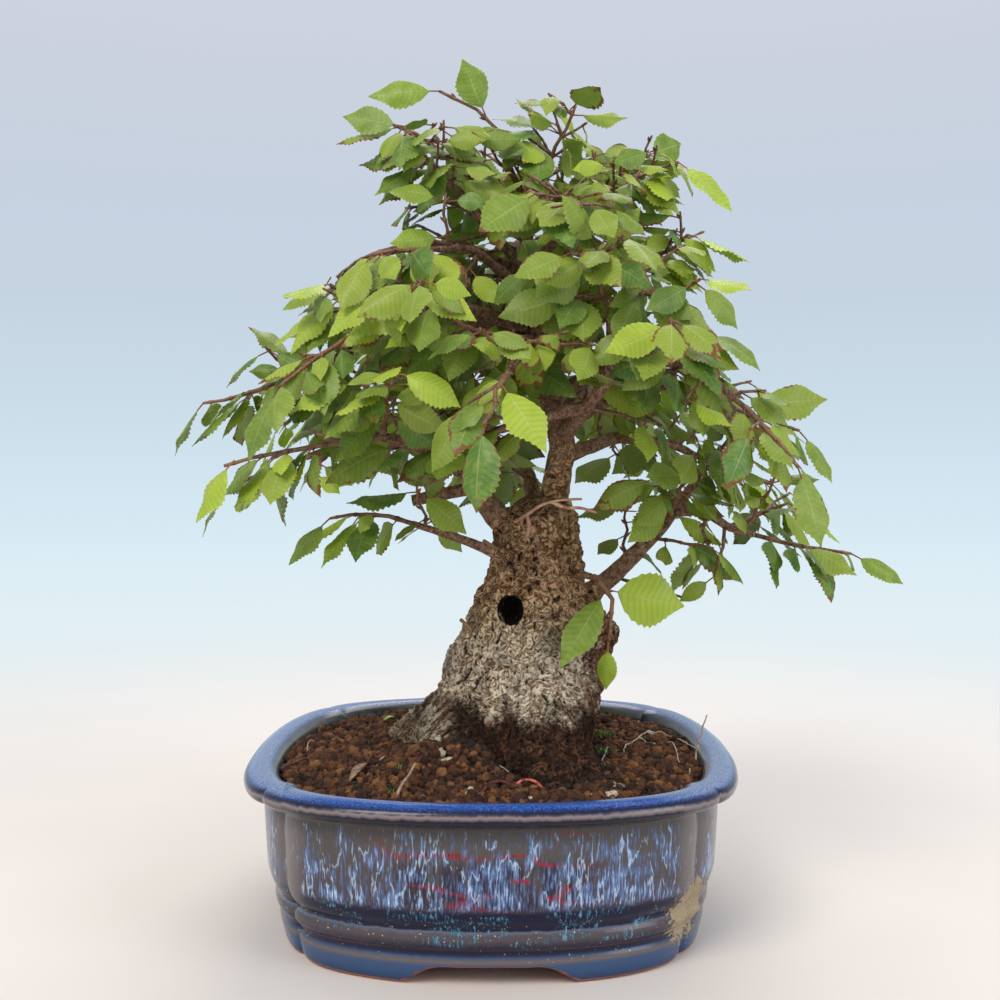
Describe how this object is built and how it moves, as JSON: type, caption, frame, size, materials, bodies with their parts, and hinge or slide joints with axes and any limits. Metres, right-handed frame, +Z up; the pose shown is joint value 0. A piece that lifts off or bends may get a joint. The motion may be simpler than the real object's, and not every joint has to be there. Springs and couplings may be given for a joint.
{
  "type": "korean hornbeam bonsai",
  "caption": "Korean hornbeam bonsai: broad flaky trunk with a knot hole, spreading limbs and sprays of toothed leaves, in granular soil in a low lobed glazed pot on feet.",
  "frame": {"origin": "on the standing surface, under the middle of the whole object's box", "axes": "+Z up, +Y away from the viewer of the front, +X to the viewer's right; the knot hole and the trunk's front root face -Y"},
  "size_m": [0.3229, 0.2646, 0.3815],
  "materials": {
    "glazed_stoneware": "glossy streaked blue and grey glaze",
    "screen_plastic": "plain moulded",
    "akadama": "damp baked clay granules",
    "bark": "rough flaky bark",
    "leaf_green": "soft satin leaf"
  },
  "bodies": {
    "root": {"drain_screen_left": "screen_plastic", "drain_screen_right": "screen_plastic", "pot": "glazed_stoneware", "soil": "akadama", "spray_back": "leaf_green", "spray_back_1": "leaf_green", "spray_back_left": "leaf_green", "spray_back_left_1": "leaf_green", "spray_back_right": "leaf_green", "spray_back_right_1": "leaf_green", "spray_crest_left": "leaf_green", "spray_crest_right": "leaf_green", "spray_crest_shoot": "leaf_green", "spray_dome_left": "leaf_green", "spray_dome_right": "leaf_green", "spray_far_left": "leaf_green", "spray_far_left_1": "leaf_green", "spray_far_left_2": "leaf_green", "spray_far_left_back": "leaf_green", "spray_far_left_back_1": "leaf_green", "spray_front": "leaf_green", "spray_front_1": "leaf_green", "spray_front_cross": "leaf_green", "spray_front_left": "leaf_green", "spray_front_left_1": "leaf_green", "spray_front_left_top": "leaf_green", "spray_front_left_top_1": "leaf_green", "spray_front_mid": "leaf_green", "spray_front_pale": "leaf_green", "spray_front_right": "leaf_green", "spray_front_right_1": "leaf_green", "spray_leader": "leaf_green", "spray_left": "leaf_green", "spray_left_1": "leaf_green", "spray_left_low": "leaf_green", "spray_low_left": "leaf_green", "spray_low_left_1": "leaf_green", "spray_mid_left": "leaf_green", "spray_right_back": "leaf_green", "spray_right_back_1": "leaf_green", "spray_right_long": "leaf_green", "spray_right_long_1": "leaf_green", "spray_right_low": "leaf_green", "spray_right_low_1": "leaf_green", "spray_right_mid": "leaf_green", "spray_right_mid_1": "leaf_green", "spray_right_mid_2": "leaf_green", "spray_top_back": "leaf_green", "spray_top_front": "leaf_green", "spray_top_front_left": "leaf_green", "spray_top_front_right": "leaf_green", "spray_top_left": "leaf_green", "spray_top_left_back": "leaf_green", "spray_top_right": "leaf_green", "spray_top_right_back": "leaf_green", "spray_trunk_bud": "leaf_green", "trunk_and_limbs": "bark"}
  },
  "joints": []
}
